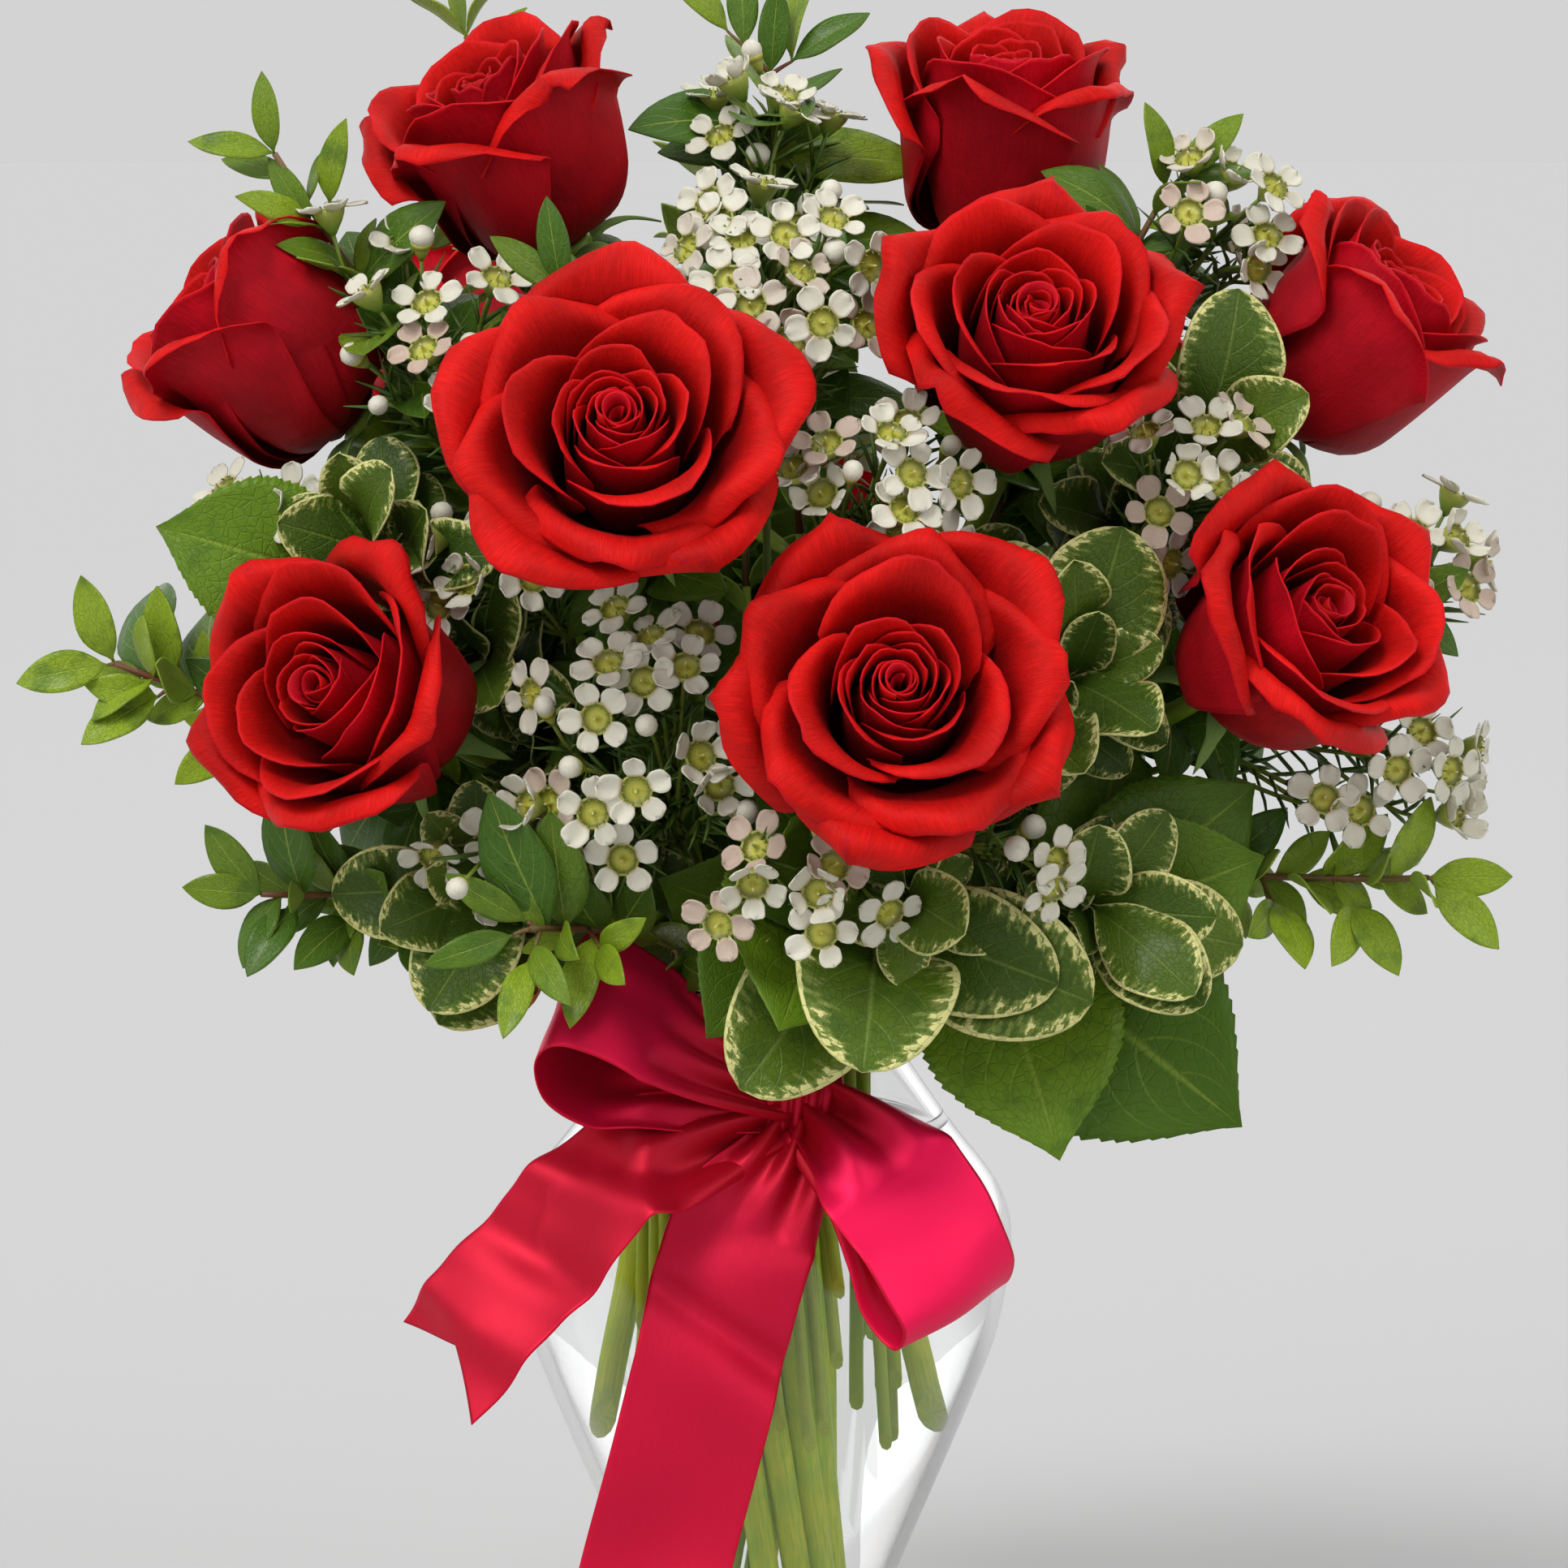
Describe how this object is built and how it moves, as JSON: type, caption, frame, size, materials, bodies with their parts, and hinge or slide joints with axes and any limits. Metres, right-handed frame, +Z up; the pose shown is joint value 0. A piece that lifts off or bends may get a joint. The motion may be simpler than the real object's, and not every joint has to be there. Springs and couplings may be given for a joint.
{
  "type": "roses in a vase",
  "caption": "Bouquet of red roses with mixed green foliage and small white waxflowers in a clear glass urn vase with a satin ribbon bow.",
  "frame": {"origin": "centre of the vase's foot, on the surface that it stands on", "axes": "+Z up along the vase's axis, -Y to the front, where the bow is, +X to the right seen from the front"},
  "size_m": [0.3832, 0.2923, 0.4871],
  "materials": {
    "glass": "clear, polished",
    "water": "clear water",
    "ribbon": "crimson satin",
    "petal": "velvety",
    "rose_green": "smooth, waxy",
    "salal": "leathery, slightly glossy",
    "pittosporum": "green with cream edges",
    "huckleberry": "glossy leaves on reddish twigs",
    "waxflower": "white waxy petals on green twigs"
  },
  "bodies": {
    "root": {"vase": "glass", "water": "water", "ribbon_bow": "ribbon", "rose_top_right_bloom": "petal", "rose_top_right_stem": "rose_green", "rose_back_right_bloom": "petal", "rose_back_right_stem": "rose_green", "rose_back_low_bloom": "petal", "rose_back_low_stem": "rose_green", "rose_back_left_bloom": "petal", "rose_back_left_stem": "rose_green", "rose_top_left_bloom": "petal", "rose_top_left_stem": "rose_green", "rose_left_bloom": "petal", "rose_left_stem": "rose_green", "rose_low_left_bloom": "petal", "rose_low_left_stem": "rose_green", "rose_centre_left_bloom": "petal", "rose_centre_left_stem": "rose_green", "rose_front_bloom": "petal", "rose_front_stem": "rose_green", "rose_centre_right_bloom": "petal", "rose_centre_right_stem": "rose_green", "rose_low_right_bloom": "petal", "rose_low_right_stem": "rose_green", "rose_right_bloom": "petal", "rose_right_stem": "rose_green", "salal_right": "salal", "salal_front": "salal", "salal_left": "salal", "salal_back": "salal", "pittosporum_front": "pittosporum", "pittosporum_low_right": "pittosporum", "pittosporum_right": "pittosporum", "pittosporum_upper_right": "pittosporum", "pittosporum_left": "pittosporum", "pittosporum_low_left": "pittosporum", "pittosporum_back_left": "pittosporum", "pittosporum_back_right": "pittosporum", "huckleberry_far_left": "huckleberry", "huckleberry_low_left": "huckleberry", "huckleberry_bottom": "huckleberry", "huckleberry_top_left": "huckleberry", "huckleberry_top": "huckleberry", "huckleberry_top_centre": "huckleberry", "huckleberry_top_right": "huckleberry", "huckleberry_low_right": "huckleberry", "huckleberry_right": "huckleberry", "huckleberry_middle": "huckleberry", "huckleberry_back": "huckleberry", "waxflower_upper": "waxflower", "waxflower_centre": "waxflower", "waxflower_right": "waxflower", "waxflower_far_right": "waxflower", "waxflower_left": "waxflower", "waxflower_low": "waxflower", "waxflower_upper_left": "waxflower", "waxflower_mid_left": "waxflower", "waxflower_high_right": "waxflower", "waxflower_back": "waxflower"}
  },
  "joints": []
}
